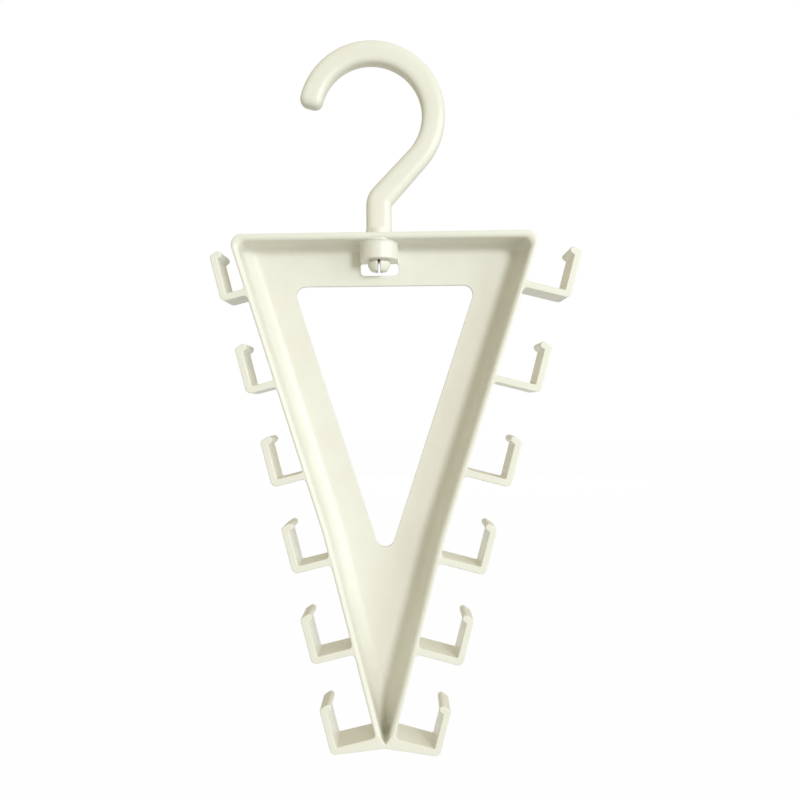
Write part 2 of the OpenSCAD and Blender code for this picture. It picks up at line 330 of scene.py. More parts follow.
# %% Tray loops
def tray_loop(gap, top_gap, foot_gap, y):
    """One loop of the tray's outline, set in from the sides, the top and the foot."""
    corners = [
        (-TOP_HALF, 0), (TOP_HALF, 0), (BEND_HALF, BEND_AT),
        (FOOT_HALF, TRAY_H), (-FOOT_HALF, TRAY_H), (-BEND_HALF, BEND_AT),
    ]
    moved = inset(corners, (top_gap, gap, gap, foot_gap, gap, gap))
    if moved[3][0] < POINT_HALF:
        slope = (BEND_HALF - FOOT_HALF) / (TRAY_H - BEND_AT)
        tip = BEND_AT + (moved[2][0] - POINT_HALF) / slope + (moved[2][1] - BEND_AT)
        moved[3], moved[4] = (POINT_HALF, tip), (-POINT_HALF, tip)
    corner = max(CORNER_R - gap / 2, SMALLEST_CORNER)
    foot = FOOT_R if moved[3][0] > NARROW_HALF else POINT_R
    radii = (corner, corner, SIDE_BEND_R, foot, foot, SIDE_BEND_R)
    return [(x, y, -d) for x, d in rounded(moved, radii, TRAY_STEPS)]


def tray_levels():
    """The section: gaps at the sides, the top and the foot, then depth and wear of each loop."""
    levels = []
    for a in quarter(4):
        g = EDGE * (1 - math.sin(a))
        levels.append((g, g, g, BACK_Y - EDGE * (1 - math.cos(a)), BACK_WORN))
    for a in quarter(5):
        g = RIM_OUT * (1 - math.cos(a))
        levels.append((g, g, g, FRONT_Y + RIM_OUT * (1 - math.sin(a)), RIM_WORN))
    for k, a in enumerate(reversed(quarter(8))):
        g = RIM_IN * (1 - math.cos(a))
        y = FRONT_Y + RIM_IN * (1 - math.sin(a))
        gaps = (WALL - g, FLANGE - g, POCKET_FOOT - g * FOOT_RIM_SHARE)
        levels.append((*gaps, y, RIM_WORN - k / 16))
    for a in quarter(12):
        out, deep = 1 - math.cos(a), 1 - math.sin(a)
        gaps = (WALL + SIDE_COVE * out, FLANGE + TOP_COVE * out, POCKET_FOOT + FOOT_COVE * out)
        levels.append((*gaps, WEB_Y - SIDE_COVE * deep, 0.0))
    return levels


# %% Mesh helpers
def add_loop(mesh, points, handled):
    layer = mesh.verts.layers.float.get("handled") or mesh.verts.layers.float.new("handled")
    made = [mesh.verts.new(p) for p in points]
    for v in made:
        v[layer] = handled
    return made


def bridge(mesh, first, second):
    """Quads between two loops with equal numbers of points."""
    count = len(first)
    for i in range(count):
        j = (i + 1) % count
        mesh.faces.new((first[i], first[j], second[j], second[i]))


def skin(mesh, rings, closed=True):
    """Bridges each ring to the next, and may close the two ends with a face."""
    for a, b in zip(rings, rings[1:]):
        bridge(mesh, a, b)
    if closed:
        mesh.faces.new(rings[0])
        mesh.faces.new(rings[-1])


def fill(mesh, loops, normal):
    """Fills the flat area between loops. Gives the number of faces."""
    edges = []
    for loop in loops:
        for i, v in enumerate(loop):
            pair = (v, loop[(i + 1) % len(loop)])
            edges.append(mesh.edges.get(pair) or mesh.edges.new(pair))
    made = bmesh.ops.triangle_fill(mesh, use_beauty=True, edges=edges, normal=normal)
    return len([f for f in made["geom"] if isinstance(f, bmesh.types.BMFace)])


# %% [markdown]
# ## Even shading
# Where a large flat face meets a fine rounding, plainly averaged normals tilt at the flat face's
# edge and show as faint creases. The Weighted Normal modifier gives large faces more say, so the
# web looks flat and its edges still look round. Its result is read as a plain mesh, and only
# then is the piece handed to its body in the frame.

# %% Finishing a piece
MERGE, SLIVER = 0.004, 0.002
SHARP = math.radians(32)


def finished(mesh, name, material, body, nodes, place=(0, 0, 0)):
    """Cleans a bmesh in millimetres, puts it in place in metres and dresses it."""
    bmesh.ops.remove_doubles(mesh, verts=mesh.verts, dist=MERGE)
    bmesh.ops.dissolve_degenerate(mesh, edges=mesh.edges, dist=SLIVER)
    bmesh.ops.recalc_face_normals(mesh, faces=mesh.faces)
    bmesh.ops.transform(mesh, matrix=Matrix.Translation(place), verts=mesh.verts)
    bmesh.ops.scale(mesh, vec=(MM, MM, MM), verts=mesh.verts)
    data = bpy.data.meshes.new(name)
    mesh.to_mesh(data)
    mesh.free()
    dressed(data, name, material, body, nodes)


def dressed(data, name, material, body, nodes):
    """Makes a mesh an object at the origin, with its plastic, and hands it to the frame."""
    piece = bpy.data.objects.new(name, data)
    bpy.context.scene.collection.objects.link(piece)
    data.materials.clear()
    data.materials.append(material)
    data.shade_smooth()
    data.set_sharp_from_angle(angle=SHARP)
    step = piece.modifiers.new("normals_by_area", "WEIGHTED_NORMAL")
    step.keep_sharp = True
    view = bpy.context.evaluated_depsgraph_get()
    even = bpy.data.meshes.new_from_object(piece.evaluated_get(view))
    piece.modifiers.remove(step)
    piece.data = even
    bpy.data.meshes.remove(data)
    even.name = name
    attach(piece, body)
    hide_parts(*nodes)
    low, high = [[f(v.co[i] for v in even.vertices) / MM for i in range(3)] for f in (min, max)]
    size = [round(h - l, 1) for l, h in zip(low, high)]
    print(name, "size", size, "mm,", len(even.polygons), "faces")


# %% [markdown]
# ## Cut-out and window
# Both holes go right through the web, and the mould leaves their edges softly rounded on both
# sides. A hole is a stack of loops: wider on the front face, narrow through the web, and wider
# again at the back. The first and the last loop bound the flat faces that are filled later.

# %% Hole loops
CUT_TOP, CUT_HALF, CUT_FOOT, CUT_R = 20.1, 39.5, 0.666 * TRAY_H, 4.0
BOSS_DROP, WINDOW_W, WINDOW_H = 10.4, 16.4, 5.3
CUT_EDGE, WINDOW_EDGE = 0.25, 0.2


def cut_corners():
    """Corners of the big cut-out, their radii and their steps."""
    corners = [(-CUT_HALF, CUT_TOP), (CUT_HALF, CUT_TOP), (0, CUT_FOOT)]
    return corners, (CUT_R, CUT_R, CUT_R), (10, 10, 12)


def window_corners():
    """The same three facts for the small window under the boss."""
    x0, x1 = -BOSS_SHIFT - WINDOW_W / 2, -BOSS_SHIFT + WINDOW_W / 2
    box = [(x0, BOSS_DROP), (x1, BOSS_DROP), (x1, BOSS_DROP + WINDOW_H), (x0, BOSS_DROP + WINDOW_H)]
    return box, (1, 1, 2, 2), (4, 4, 7, 7)


def hole(mesh, shape, edge):
    """Wall of a hole with both its edges rounded. Gives its front and back loops."""
    corners, radii, steps = shape
    rings = []
    for y0, sign in ((WEB_Y, 1), (BACK_Y, -1)):
        part = []
        for a in quarter(3):
            grow = edge * (1 - math.sin(a))
            moved = inset(corners, [-grow] * len(corners))
            points = rounded(moved, [r + grow for r in radii], steps)
            y = y0 + sign * edge * (1 - math.cos(a))
            part.append(add_loop(mesh, [(x, y, -d) for x, d in points], HOLE_WORN))
        rings += part if sign > 0 else part[::-1]
    skin(mesh, rings, closed=False)
    return rings[0], rings[-1]


# %% [markdown]
# ## Ejector pin marks
# The pins that push the tray out of its mould leave shallow round marks on the flat back. They
# are real discs in the mesh, two rings and a floor, so that they are part of the shape itself.

# %% Pin marks
PIN_MARKS = (
    (-49.6, 10), (50.4, 10), (-33.6, 58), (33.4, 58),
    (-17.1, 108), (16.9, 108), (0, 160), (0, 190),
)
PIN_R, PIN_DRAFT, PIN_DEEP, PIN_STEPS = 2.5, 0.05, 0.25, 24


def pin_mark(mesh, x, drop):
    """Shallow disc sunk into the back. Gives its outer loop."""
    rings = []
    for radius, y in ((PIN_R + PIN_DRAFT, BACK_Y), (PIN_R - PIN_DRAFT, BACK_Y - PIN_DEEP)):
        points = [(px, y, pz) for px, pz in circle(x, -drop, radius, PIN_STEPS)]
        rings.append(add_loop(mesh, points, 0.0))
    bridge(mesh, *rings)
    mesh.faces.new(rings[1])
    return rings[0]


# %% Tray mesh
def tray_mesh():
    mesh = bmesh.new()
    rings = [add_loop(mesh, tray_loop(*place), worn) for *place, worn in tray_levels()]
    skin(mesh, rings, closed=False)
    cut_front, cut_back = hole(mesh, cut_corners(), CUT_EDGE)
    window_front, window_back = hole(mesh, window_corners(), WINDOW_EDGE)
    front = fill(mesh, (rings[-1], cut_front, window_front), (0, -1, 0))
    marks = [pin_mark(mesh, *place) for place in PIN_MARKS]
    back = fill(mesh, (rings[0], cut_back, window_back, *marks), (0, 1, 0))
    print("tray:", len(rings), "rings, web filled with", front, "+", back, "faces")
    return mesh


# %% [markdown]
# ## The boss and its bore
# Under the flange a D-shaped boss carries the hook: a half cylinder in front that runs back into
# the web. It is drawn as one outline and raised along Z with a rounded lower edge. Joining it to
# the tray with a Boolean gives one closed skin, and a second Boolean drills the bore.

# %% Boss
BOSS_R, BOSS_STEPS, BOSS_BACK, BOSS_EDGE, BOSS_FLARE = 8.0, 28, WEB_Y + 0.9, 0.5, 0.8
BORE_R, BORE_STEPS, BORE_EDGE, BORE_OVER = 4.08, 48, 0.1, 1


def column(outline, z0, z1, edge, handled, flare=0.0, flare_z=0.0):
    """Closed column over an outline in X and Y: rounded lower edge, and a flare at flare_z."""
    mesh = bmesh.new()
    centre = Vector((sum(p[0] for p in outline), sum(p[1] for p in outline))) / len(outline)
    steps = [(-edge * (1 - math.sin(a)), z0 + edge * (1 - math.cos(a))) for a in quarter(4)]
    if flare:
        for a in quarter(6):
            steps.append((flare * (1 - math.cos(a)), flare_z - 2 * flare * (1 - math.sin(a))))
    steps.append((flare, z1))
    rings = []
    for grow, z in steps:
        ring = []
        for p in outline:
            away = (Vector(p) - centre).normalized() * grow
            ring.append((p[0] + away.x, p[1] + away.y, z))
        rings.append(add_loop(mesh, ring, handled))
    skin(mesh, rings)
    bmesh.ops.recalc_face_normals(mesh, faces=mesh.faces)
    return mesh


def boss_outline():
    turns = [math.pi * k / BOSS_STEPS for k in range(BOSS_STEPS + 1)]
    front = [(-math.cos(a) * BOSS_R, -math.sin(a) * BOSS_R) for a in turns]
    back = [(BOSS_R, BOSS_BACK), (-BOSS_R, BOSS_BACK)]
    return [(x - BOSS_SHIFT, y) for x, y in front + back]


# %% Tray with its boss
def boolean(target, tool, operation):
    """Applies a Boolean between two plain meshes in millimetres and gives the new bmesh."""
    pair = []
    for name, mesh in (("boolean_target", target), ("boolean_tool", tool)):
        data = bpy.data.meshes.new(name)
        mesh.to_mesh(data)
        mesh.free()
        thing = bpy.data.objects.new(name, data)
        bpy.context.scene.collection.objects.link(thing)
        pair.append(thing)
    step = pair[0].modifiers.new("boolean", "BOOLEAN")
    step.operation, step.solver, step.object = operation, "EXACT", pair[1]
    view = bpy.context.evaluated_depsgraph_get()
    result = bmesh.new()
    result.from_mesh(bpy.data.meshes.new_from_object(pair[0].evaluated_get(view)))
    for thing in pair:
        bpy.data.objects.remove(thing)
    return result


def make_tray():
    tray = tray_mesh()
    bmesh.ops.remove_doubles(tray, verts=tray.verts, dist=MERGE)
    bmesh.ops.recalc_face_normals(tray, faces=tray.faces)
    height = (-BOSS_DROP, -FLANGE / 2)
    boss = column(boss_outline(), *height, BOSS_EDGE, BOSS_WORN, BOSS_FLARE, -FLANGE)
    tray = boolean(tray, boss, "UNION")
    bore = circle(-BOSS_SHIFT, 0, BORE_R, BORE_STEPS)
    drill = column(bore, -BOSS_DROP - BORE_OVER, BORE_OVER, BORE_EDGE, 0.0)
    tray = boolean(tray, drill, "DIFFERENCE")
    place = (MID_X, 0, TOP_Z)
    finished(tray, "tray_moulding", TRAY_PLASTIC, "frame", ["frame_tray"], place)


make_tray()

# %% [markdown]
# ## Twelve tie arms by one rule
# Every arm is the same bent strip: out from the wall, up, and a short lip back in. Only the
# reach changes, shorter towards the top on the left. So the arm is drawn once, with rounded
# edges, and a Geometry Nodes tree stretches its strip to the reach, leans it, turns it round for
# the right side and stands it at its heel. The tree's inputs are these four facts.

# %% Arm blank
ARM_T, ARM_LEAN, ARM_H = 2.9, math.radians(14.4), 19.7
LIP_L, LIP_TILT, LIP_BEND_R = 4.7, math.radians(20), 1.4
LIP_INNER_R, LIP_DROP = 0.35, 0.3
HEEL_R, INNER_R, ROOT_R, ROOT_RUN, BASE_STRIP = 2.5, 0.6, 1.5, 1.3, 20.0
ARCH_RISE = 1.2  # height of the lowest arms' ends above the arch's middle


def arc(x, z, r, a0, a1, n):
    """Points of an arc about (x, z), between two angles in degrees."""
    angles = [math.radians(a0 + (a1 - a0) * i / n) for i in range(n + 1)]
    return [(x + r * math.cos(a), z + r * math.sin(a)) for a in angles]


def arm_outline(strip, foot=None):
    """Side view of an arm with its heel at the origin. A foot point replaces the root's fillet."""
    tip_r, tilt = ARM_T / 2, math.degrees(LIP_TILT)
    bend_in = LIP_BEND_R * math.tan(math.radians(90 - tilt) / 2)
    ex, ez = math.cos(LIP_TILT), math.sin(LIP_TILT)
    tip = ((LIP_L - tip_r) * ex + tip_r * ez, ARM_H + (LIP_L - tip_r) * ez - tip_r * ex)
    lip_z = ARM_H - ARM_T * (1 - ez) / ex - LIP_DROP
    end = strip + ROOT_RUN
    under = [(end, -ROOT_R)] + arc(strip - ROOT_R, -ROOT_R, ROOT_R, 0, 90, 6)
    if foot:
        under = [(foot[0], foot[1] + ARCH_RISE), foot]
    return (
        under
        + arc(HEEL_R, HEEL_R, HEEL_R, 270, 180, 9)
        + arc(LIP_BEND_R, ARM_H - bend_in, LIP_BEND_R, 180, 90 + tilt, 7)
        + arc(tip[0], tip[1], tip_r, 90 + tilt, tilt - 90, 12)
        + arc(ARM_T + LIP_INNER_R, lip_z, LIP_INNER_R, 110, 180, 3)
        + arc(ARM_T + INNER_R, ARM_T + INNER_R, INNER_R, 180, 270, 4)
        + arc(strip - ROOT_R, ARM_T + ROOT_R, ROOT_R, 270, 360, 6)
        + [(end, ARM_T + ROOT_R)]
    )


def shrink(loop, gap):
    """The loop moved in by a small gap along its corners' bisectors."""
    out = []
    count = len(loop)
    for i, p in enumerate(loop):
        a, b = Vector(loop[i - 1]), Vector(loop[(i + 1) % count])
        here = Vector(p)
        d0, d1 = (here - a).normalized(), (b - here).normalized()
        n0, n1 = Vector((d0.y, -d0.x)), Vector((d1.y, -d1.x))
        middle = (n0 + n1).normalized()
        out.append(here + middle * gap / max(middle.dot(n1), 0.5))
    return [(v.x, v.y) for v in out]


# %% Arm slab
ARM_SHY, ARM_EDGE = 0.04, 0.45  # the arms end just inside the tray's depth
ARM_EDGE_WORN, ARM_FACE_WORN = 0.8, 0.2


def slab(outline, y0, y1):
    """Closed slab over an outline in X and Z between two depths, with rounded rims."""
    mesh = bmesh.new()
    rings = []
    for y_face, sign in ((y0, 1), (y1, -1)):
        part = []
        for k, a in enumerate(quarter(4)):
            loop = shrink(outline, ARM_EDGE * (1 - math.sin(a)))
            y = y_face + sign * ARM_EDGE * (1 - math.cos(a))
            worn = ARM_EDGE_WORN if k < 4 else ARM_FACE_WORN
            part.append(add_loop(mesh, [(x, y, z) for x, z in loop], worn))
        rings += part if sign > 0 else part[::-1]
    skin(mesh, rings)
    bmesh.ops.recalc_face_normals(mesh, faces=mesh.faces)
    return mesh


# %% Start and end of a tree
def new_rule(name, sizes):
    """Tree with a geometry and named inputs. Gives it and the identifier of each input."""
    tree = bpy.data.node_groups.new(name, "GeometryNodeTree")
    face = tree.interface
    face.new_socket("Geometry", in_out="INPUT", socket_type="NodeSocketGeometry")
    names = {}
    for word, kind in sizes.items():
        socket = face.new_socket(word, in_out="INPUT", socket_type="NodeSocket" + kind)
        names[word] = socket.identifier
    face.new_socket("Geometry", in_out="OUTPUT", socket_type="NodeSocketGeometry")
    return tree, names


def end_rule(tree, shape, material):
    """Makes instances real, puts the plastic on and joins the tree's output."""
    real = add(tree, "GeometryNodeRealizeInstances", {}, {"Geometry": shape})[0]
    values = {"Geometry": real, "Material": material}
    coated = add(tree, "GeometryNodeSetMaterial", {}, values)[0]
    add(tree, "NodeGroupOutput", {}, {0: coated})


# %% Tree that turns the blank into an arm
ARM_INPUTS = {
    "Strip": "Float", "Lean": "Float", "Turn": "Float", "Heel": "Vector", "Material": "Material",
}


def arm_tree():
    tree, names = new_rule("tie_arm_rule", ARM_INPUTS)
    blank, strip, lean, turn, heel, material = add(tree, "NodeGroupInput")[:6]
    at = add(tree, "GeometryNodeInputPosition")[0]
    x = add(tree, "ShaderNodeSeparateXYZ", {}, {0: at})[0]
    root = x > BASE_STRIP * 0.5 * MM
    move = add(tree, "ShaderNodeCombineXYZ", {}, {0: strip - BASE_STRIP * MM})[0]
    values = {"Geometry": blank, "Selection": root, "Offset": move}
    longer = add(tree, "GeometryNodeSetPosition", {}, values)[0]
    tilt = add(tree, "ShaderNodeCombineXYZ", {}, {1: lean})[0]
    leaned = add(tree, "GeometryNodeTransform", {}, {"Geometry": longer, "Rotation": tilt})[0]
    about = add(tree, "ShaderNodeCombineXYZ", {}, {2: turn})[0]
    values = {"Geometry": leaned, "Rotation": about, "Translation": heel}
    end_rule(tree, add(tree, "GeometryNodeTransform", {}, values)[0], material)
    return tree, names


def grown(name, data, tree, inputs):
    """Plain mesh that a tree makes from a start mesh; inputs go by identifier."""
    thing = bpy.data.objects.new(name, data)
    bpy.context.scene.collection.objects.link(thing)
    step = thing.modifiers.new("rule", "NODES")
    step.node_group = tree
    for identifier, value in inputs.items():
        step[identifier] = value
    view = bpy.context.evaluated_depsgraph_get()
    made = bpy.data.meshes.new_from_object(thing.evaluated_get(view))
    thing.modifiers.remove(step)
    bpy.data.objects.remove(thing)
    return made


# %% Rows and reach
FIRST_ROW, LAST_ROW = 28.2, TRAY_H + 3.9
SPAN = LAST_ROW - FIRST_ROW
UPPER_PITCH, LOWER_PITCH = 0.2054, 0.199  # shares of the span between two rows
FULL_REACH, LEFT_TOP_REACH = 20.3, 11.4
FOOT_ARCH, FOOT_OVER = 0.5, 0.5


def row_drop(row):
    """How far the heels of a row, from 0 to 5, lie below the tray's top."""
    if row < 3:
        return FIRST_ROW + row * UPPER_PITCH * SPAN
    return LAST_ROW - (5 - row) * LOWER_PITCH * SPAN


def arm_blank(name, foot=None):
    """Arm of the base length; the lowest ones run on under the foot to a point."""
    blank = slab(arm_outline(BASE_STRIP, foot), FRONT_Y + ARM_SHY, BACK_Y - ARM_SHY)
    bmesh.ops.scale(blank, vec=(MM, MM, MM), verts=blank.verts)
    data = bpy.data.meshes.new(name)
    blank.to_mesh(data)
    blank.free()
    return data


def under_foot(out, drop, strip):
    """The middle of the arch below the foot, seen from a lowest arm's heel."""
    across, rise = out + FOOT_OVER, drop - TRAY_H - FOOT_ARCH
    c, s = math.cos(ARM_LEAN), math.sin(ARM_LEAN)
    return (across * c + rise * s + BASE_STRIP - strip, rise * c - across * s)


# %% Place the twelve arms
def make_arms():
    tree, names = arm_tree()
    plain = arm_blank("arm_blank")
    for side, word in ((-1, "left"), (1, "right")):
        for row in range(6):
            drop = row_drop(row)
            reach = FULL_REACH
            if side < 0:
                reach = LEFT_TOP_REACH + (FULL_REACH - LEFT_TOP_REACH) * row / 5
            slope = (half_width(drop - 1) - half_width(drop + 1)) / 2
            strip = reach / (math.cos(ARM_LEAN) + slope * math.sin(ARM_LEAN))
            out = half_width(drop) + reach
            heel = Vector((MID_X + side * out, 0, TOP_Z - drop)) * MM
            inputs = {
                names["Strip"]: strip * MM,
                names["Lean"]: -ARM_LEAN,
                names["Turn"]: 0.0 if side < 0 else math.pi,
                names["Heel"]: heel,
                names["Material"]: TRAY_PLASTIC,
            }
            data = plain
            if row == 5:
                data = arm_blank("foot_arm_blank", under_foot(out, drop, strip))
            made = grown("arm_in_work", data, tree, inputs)
            node = "tie_arm_%s_%d" % (word, row + 1)
            dressed(made, node + "_moulding", TRAY_PLASTIC, "frame", [node])


make_arms()

# %% [markdown]
# ## The hook
# The hook is a rod on a path: a blunt tip, the bend over the rail, a long bend behind, a straight
# run and a tight knee into the shank. A path and a section are what Curve to Mesh is for. The
# tree starts from a circle and moves its points out to a slightly squared oval, because the front
# of the real rod is broad and evenly lit. Two low ridges on it are the mould's parting line. Each
# point of the path carries its share of the radius, which rounds the tip and thickens the shank.

# %% Hook path
ROD_R, BACK_R, TIP_R = 5.1, 26.8, 25.3
TIP_ANGLE, RUN_LEAN = math.radians(14.5), math.radians(42.6)
KNEE_R = ROD_R + 0.4
END_PLAY, INTO_COLLAR = 0.3, 0.5
COLLAR_Z = TOP_Z + END_PLAY
FRONT_STEPS, BACK_STEPS, RUN_STEPS, KNEE_STEPS, SHANK_STEPS = 40, 60, 12, 12, 4


def hook_path():
    """Middle line of the rod in X and Z, from the tip to the collar."""
    back_z, tip_z = ROD_R - BACK_R, ROD_R - TIP_R
    points = []
    tip_at = math.pi - TIP_ANGLE
    for k in range(FRONT_STEPS + 1):
        a = tip_at + (math.pi / 2 - tip_at) * k / FRONT_STEPS
        points.append((TIP_R * math.cos(a), tip_z + TIP_R * math.sin(a)))
    for k in range(1, BACK_STEPS + 1):
        a = math.pi / 2 - (math.pi / 2 + RUN_LEAN) * k / BACK_STEPS
        points.append((BACK_R * math.cos(a), back_z + BACK_R * math.sin(a)))
    run_x, run_z = points[-1]
    to_axis = (run_x - SHANK_STEP) / math.sin(RUN_LEAN)
    run = to_axis - KNEE_R * math.tan(RUN_LEAN / 2)
    for k in range(1, RUN_STEPS + 1):
        t = run * k / RUN_STEPS
        points.append((run_x - t * math.sin(RUN_LEAN), run_z - t * math.cos(RUN_LEAN)))
    knee_z = points[-1][1] - KNEE_R * math.sin(RUN_LEAN)
    for k in range(1, KNEE_STEPS + 1):
        a = math.pi - RUN_LEAN + RUN_LEAN * k / KNEE_STEPS
        points.append((SHANK_STEP + KNEE_R + KNEE_R * math.cos(a), knee_z + KNEE_R * math.sin(a)))
    for k in range(1, SHANK_STEPS + 1):
        z = knee_z + (COLLAR_Z + INTO_COLLAR - knee_z) * k / SHANK_STEPS
        points.append((SHANK_STEP, z))
    return points


# %% Thickness along the rod
TIP_L, TIP_EDGE, TIP_STEPS = 3.7, 3.5, 15
BEND_SHARE, SHANK_SHARE = 0.945, 1.035
BACK_LOW, KNEE_LOW = -36.0, -60.0


def blunt_tip(points):
    """Puts a blunt end before the path. Gives the points and each one's share of the radius."""
    first, second = Vector(points[0]), Vector(points[1])
    back = (first - second).normalized()
    extra, shares = [], []
    for a in quarter(TIP_STEPS):
        extra.append(first + back * (TIP_L - TIP_EDGE * (1 - math.cos(a))))
        shares.append(1 - TIP_EDGE * (1 - math.sin(a)) / ROD_R)
    thick = []
    for x, z in points:
        down = min(max((BACK_LOW - z) / (BACK_LOW - KNEE_LOW), 0), 1)
        thick.append(BEND_SHARE + (SHANK_SHARE - BEND_SHARE) * down * down * (3 - 2 * down))
    shares = [share * BEND_SHARE for share in shares]
    return [(v.x, v.y) for v in extra] + points, shares + thick


# %% Tree that sweeps the rod
HALF_DEPTH, SQUARENESS, PARTING_RIDGE = 4.45, 3.5, 0.05
SECTION_POINTS = 96
ROD_INPUTS = {
    "Rod radius": "Float", "Half depth": "Float", "Parting ridge": "Float", "Material": "Material",
}


def squared(share):
    """Moves a circle's coordinate, from -1 to 1, out to that of a squarer oval."""
    size = abs(share)
    return size.maths("POWER", size, 2 / SQUARENESS) * share.maths("SIGN", share)


def rod_tree():
    tree, names = new_rule("hook_rod_rule", ROD_INPUTS)
    path, radius, half_depth, ridge, material = add(tree, "NodeGroupInput")[:5]
    curve = add(tree, "GeometryNodeMeshToCurve", {}, {0: path})[0]
    settings = {"data_type": "FLOAT"}
    share = add(tree, "GeometryNodeInputNamedAttribute", settings, {"Name": "share"})[0]
    values = {"Resolution": SECTION_POINTS, "Radius": radius}
    round_one = add(tree, "GeometryNodeCurvePrimitiveCircle", {}, values)[0]
    index = add(tree, "GeometryNodeInputIndex")[0]
    seam = index.maths("MODULO", index + SECTION_POINTS // 4, SECTION_POINTS // 2) < 0.5
    where = add(tree, "GeometryNodeInputPosition")[0]
    x, y, _ = add(tree, "ShaderNodeSeparateXYZ", {}, {0: where})
    deep, across = squared(x / radius) * half_depth, squared(y / radius) * radius
    oval_at = add(tree, "ShaderNodeCombineXYZ", {}, {0: deep, 1: across})[0]
    values = {"Geometry": round_one, "Position": oval_at}
    oval = add(tree, "GeometryNodeSetPosition", {}, values)[0]
    values = {0: where, "Scale": ridge / radius}
    out = add(tree, "ShaderNodeVectorMath", {"operation": "SCALE"}, values)[0]
    values = {"Geometry": oval, "Selection": seam, "Offset": out}
    section = add(tree, "GeometryNodeSetPosition", {}, values)[0]
    values = {"Curve": curve, "Profile Curve": section, "Scale": share, "Fill Caps": True}
    end_rule(tree, add(tree, "GeometryNodeCurveToMesh", {}, values)[0], material)
    return tree, names


# %% [markdown]
# ## Collar, neck and snap barb
# Below the knee a low collar rests over the tray, the neck runs through the bore, and a split
# barb spreads under the boss. These are turned shapes. The slot that lets the barb spring is
# cut with a Boolean, and the barb's lower edge is well rounded so that it slips in.

# %% Hook foot
COLLAR_R, COLLAR_H, COLLAR_EDGE, NECK_R = 5.5, 2.6, 0.4, 4.0
FOOT_STEPS, FOOT_WORN = 64, 0.3
BARB_TOP = TOP_Z - BOSS_DROP - END_PLAY
BARB_H = 4.4
# The barb's side as radius and drop below its top, from its end up to the neck.
OLIVE = (
    (2.6, BARB_H), (3.1, 4.33), (3.5, 4.1), (3.85, 3.7), (4.25, 3.0), (4.55, 2.3),
    (4.72, 1.7), (4.75, 1.2), (4.65, 0.6), (4.4, 0.2), (4.1, 0.0),
)


def foot_profile():
    """Side of barb, neck and collar as (radius, z) points, from the bottom up."""
    edge, top = COLLAR_EDGE, COLLAR_Z + COLLAR_H
    barb = [(r, BARB_TOP - drop) for r, drop in OLIVE]
    neck = [(NECK_R, BARB_TOP), (NECK_R, COLLAR_Z)]
    collar = [
        (COLLAR_R - edge, COLLAR_Z), (COLLAR_R - edge * 0.3, COLLAR_Z + edge * 0.3),
        (COLLAR_R, COLLAR_Z + edge), (COLLAR_R, top - edge),
        (COLLAR_R - 0.1, top - 0.1), (ROD_R - 0.3, top),
    ]
    return barb + neck + collar


def turned_foot():
    """Turned shape about the hook's axis, closed at both ends."""
    mesh = bmesh.new()
    rings = []
    for r, z in foot_profile():
        points = [(x, y, z) for x, y in circle(SHANK_STEP, 0, r, FOOT_STEPS)]
        rings.append(add_loop(mesh, points, FOOT_WORN))
    skin(mesh, rings)
    bmesh.ops.recalc_face_normals(mesh, faces=mesh.faces)
    return mesh


# %% Hook rod
def hook_rod():
    """The swept rod as a bmesh in millimetres."""
    tree, names = rod_tree()
    points, shares = blunt_tip(hook_path())
    data = bpy.data.meshes.new("hook_path")
    edges = [(i, i + 1) for i in range(len(points) - 1)]
    data.from_pydata([(x * MM, 0, z * MM) for x, z in points], edges, [])
    share = data.attributes.new("share", "FLOAT", "POINT")
    share.data.foreach_set("value", shares)
    inputs = {
        names["Rod radius"]: ROD_R * MM,
        names["Half depth"]: HALF_DEPTH * MM,
        names["Parting ridge"]: PARTING_RIDGE * MM,
        names["Material"]: HOOK_PLASTIC,
    }
    rod = bmesh.new()
    rod.from_mesh(grown("rod_in_work", data, tree, inputs))
    bmesh.ops.scale(rod, vec=(1 / MM, 1 / MM, 1 / MM), verts=rod.verts)
    bmesh.ops.remove_doubles(rod, verts=rod.verts, dist=SLIVER)
    bmesh.ops.recalc_face_normals(rod, faces=rod.faces)
    return rod


# %% Slot and whole hook
SLOT_W, SLOT_UP, SLOT_DOWN, SLOT_DEPTH = 1.0, 5, 1, 14
LIP_R, LIP_STEPS, LIP_TURN, NEAR = 0.45, 4, 0.8, 0.02


def slotted(hook):
    """Cuts the barb's slot, from below its end up into the neck."""
    box = bmesh.new()
    bmesh.ops.create_cube(box, size=1)
    size = (SLOT_W, SLOT_DEPTH, BARB_H + (SLOT_UP + SLOT_DOWN))
    bmesh.ops.scale(box, vec=size, verts=box.verts)
    middle = (SHANK_STEP, 0, BARB_TOP - BARB_H / 2 + (SLOT_UP - SLOT_DOWN) / 2)
    bmesh.ops.translate(box, vec=middle, verts=box.verts)
    return boolean(hook, box, "DIFFERENCE")


def round_slot(hook):
    """Rounds the slot's sharp edges below the barb's top."""
    lips = []
    for edge in hook.edges:
        middle = (edge.verts[0].co + edge.verts[1].co) / 2
        at_slot = abs(abs(middle.x - SHANK_STEP) - SLOT_W / 2) < NEAR
        if not at_slot or middle.z >= BARB_TOP - NEAR:
            continue
        if len(edge.link_faces) == 2 and edge.calc_face_angle(0) > LIP_TURN:
            lips.append(edge)
    rounding = {"offset": LIP_R, "segments": LIP_STEPS, "profile": 0.5, "affect": "EDGES"}
    bmesh.ops.bevel(hook, geom=lips, **rounding)
    print("slot edges rounded:", len(lips))


def make_hook():
    hook = slotted(boolean(hook_rod(), turned_foot(), "UNION"))
    round_slot(hook)
    finished(hook, "hook_moulding", HOOK_PLASTIC, "hook", ["swivel_hook"])


make_hook()

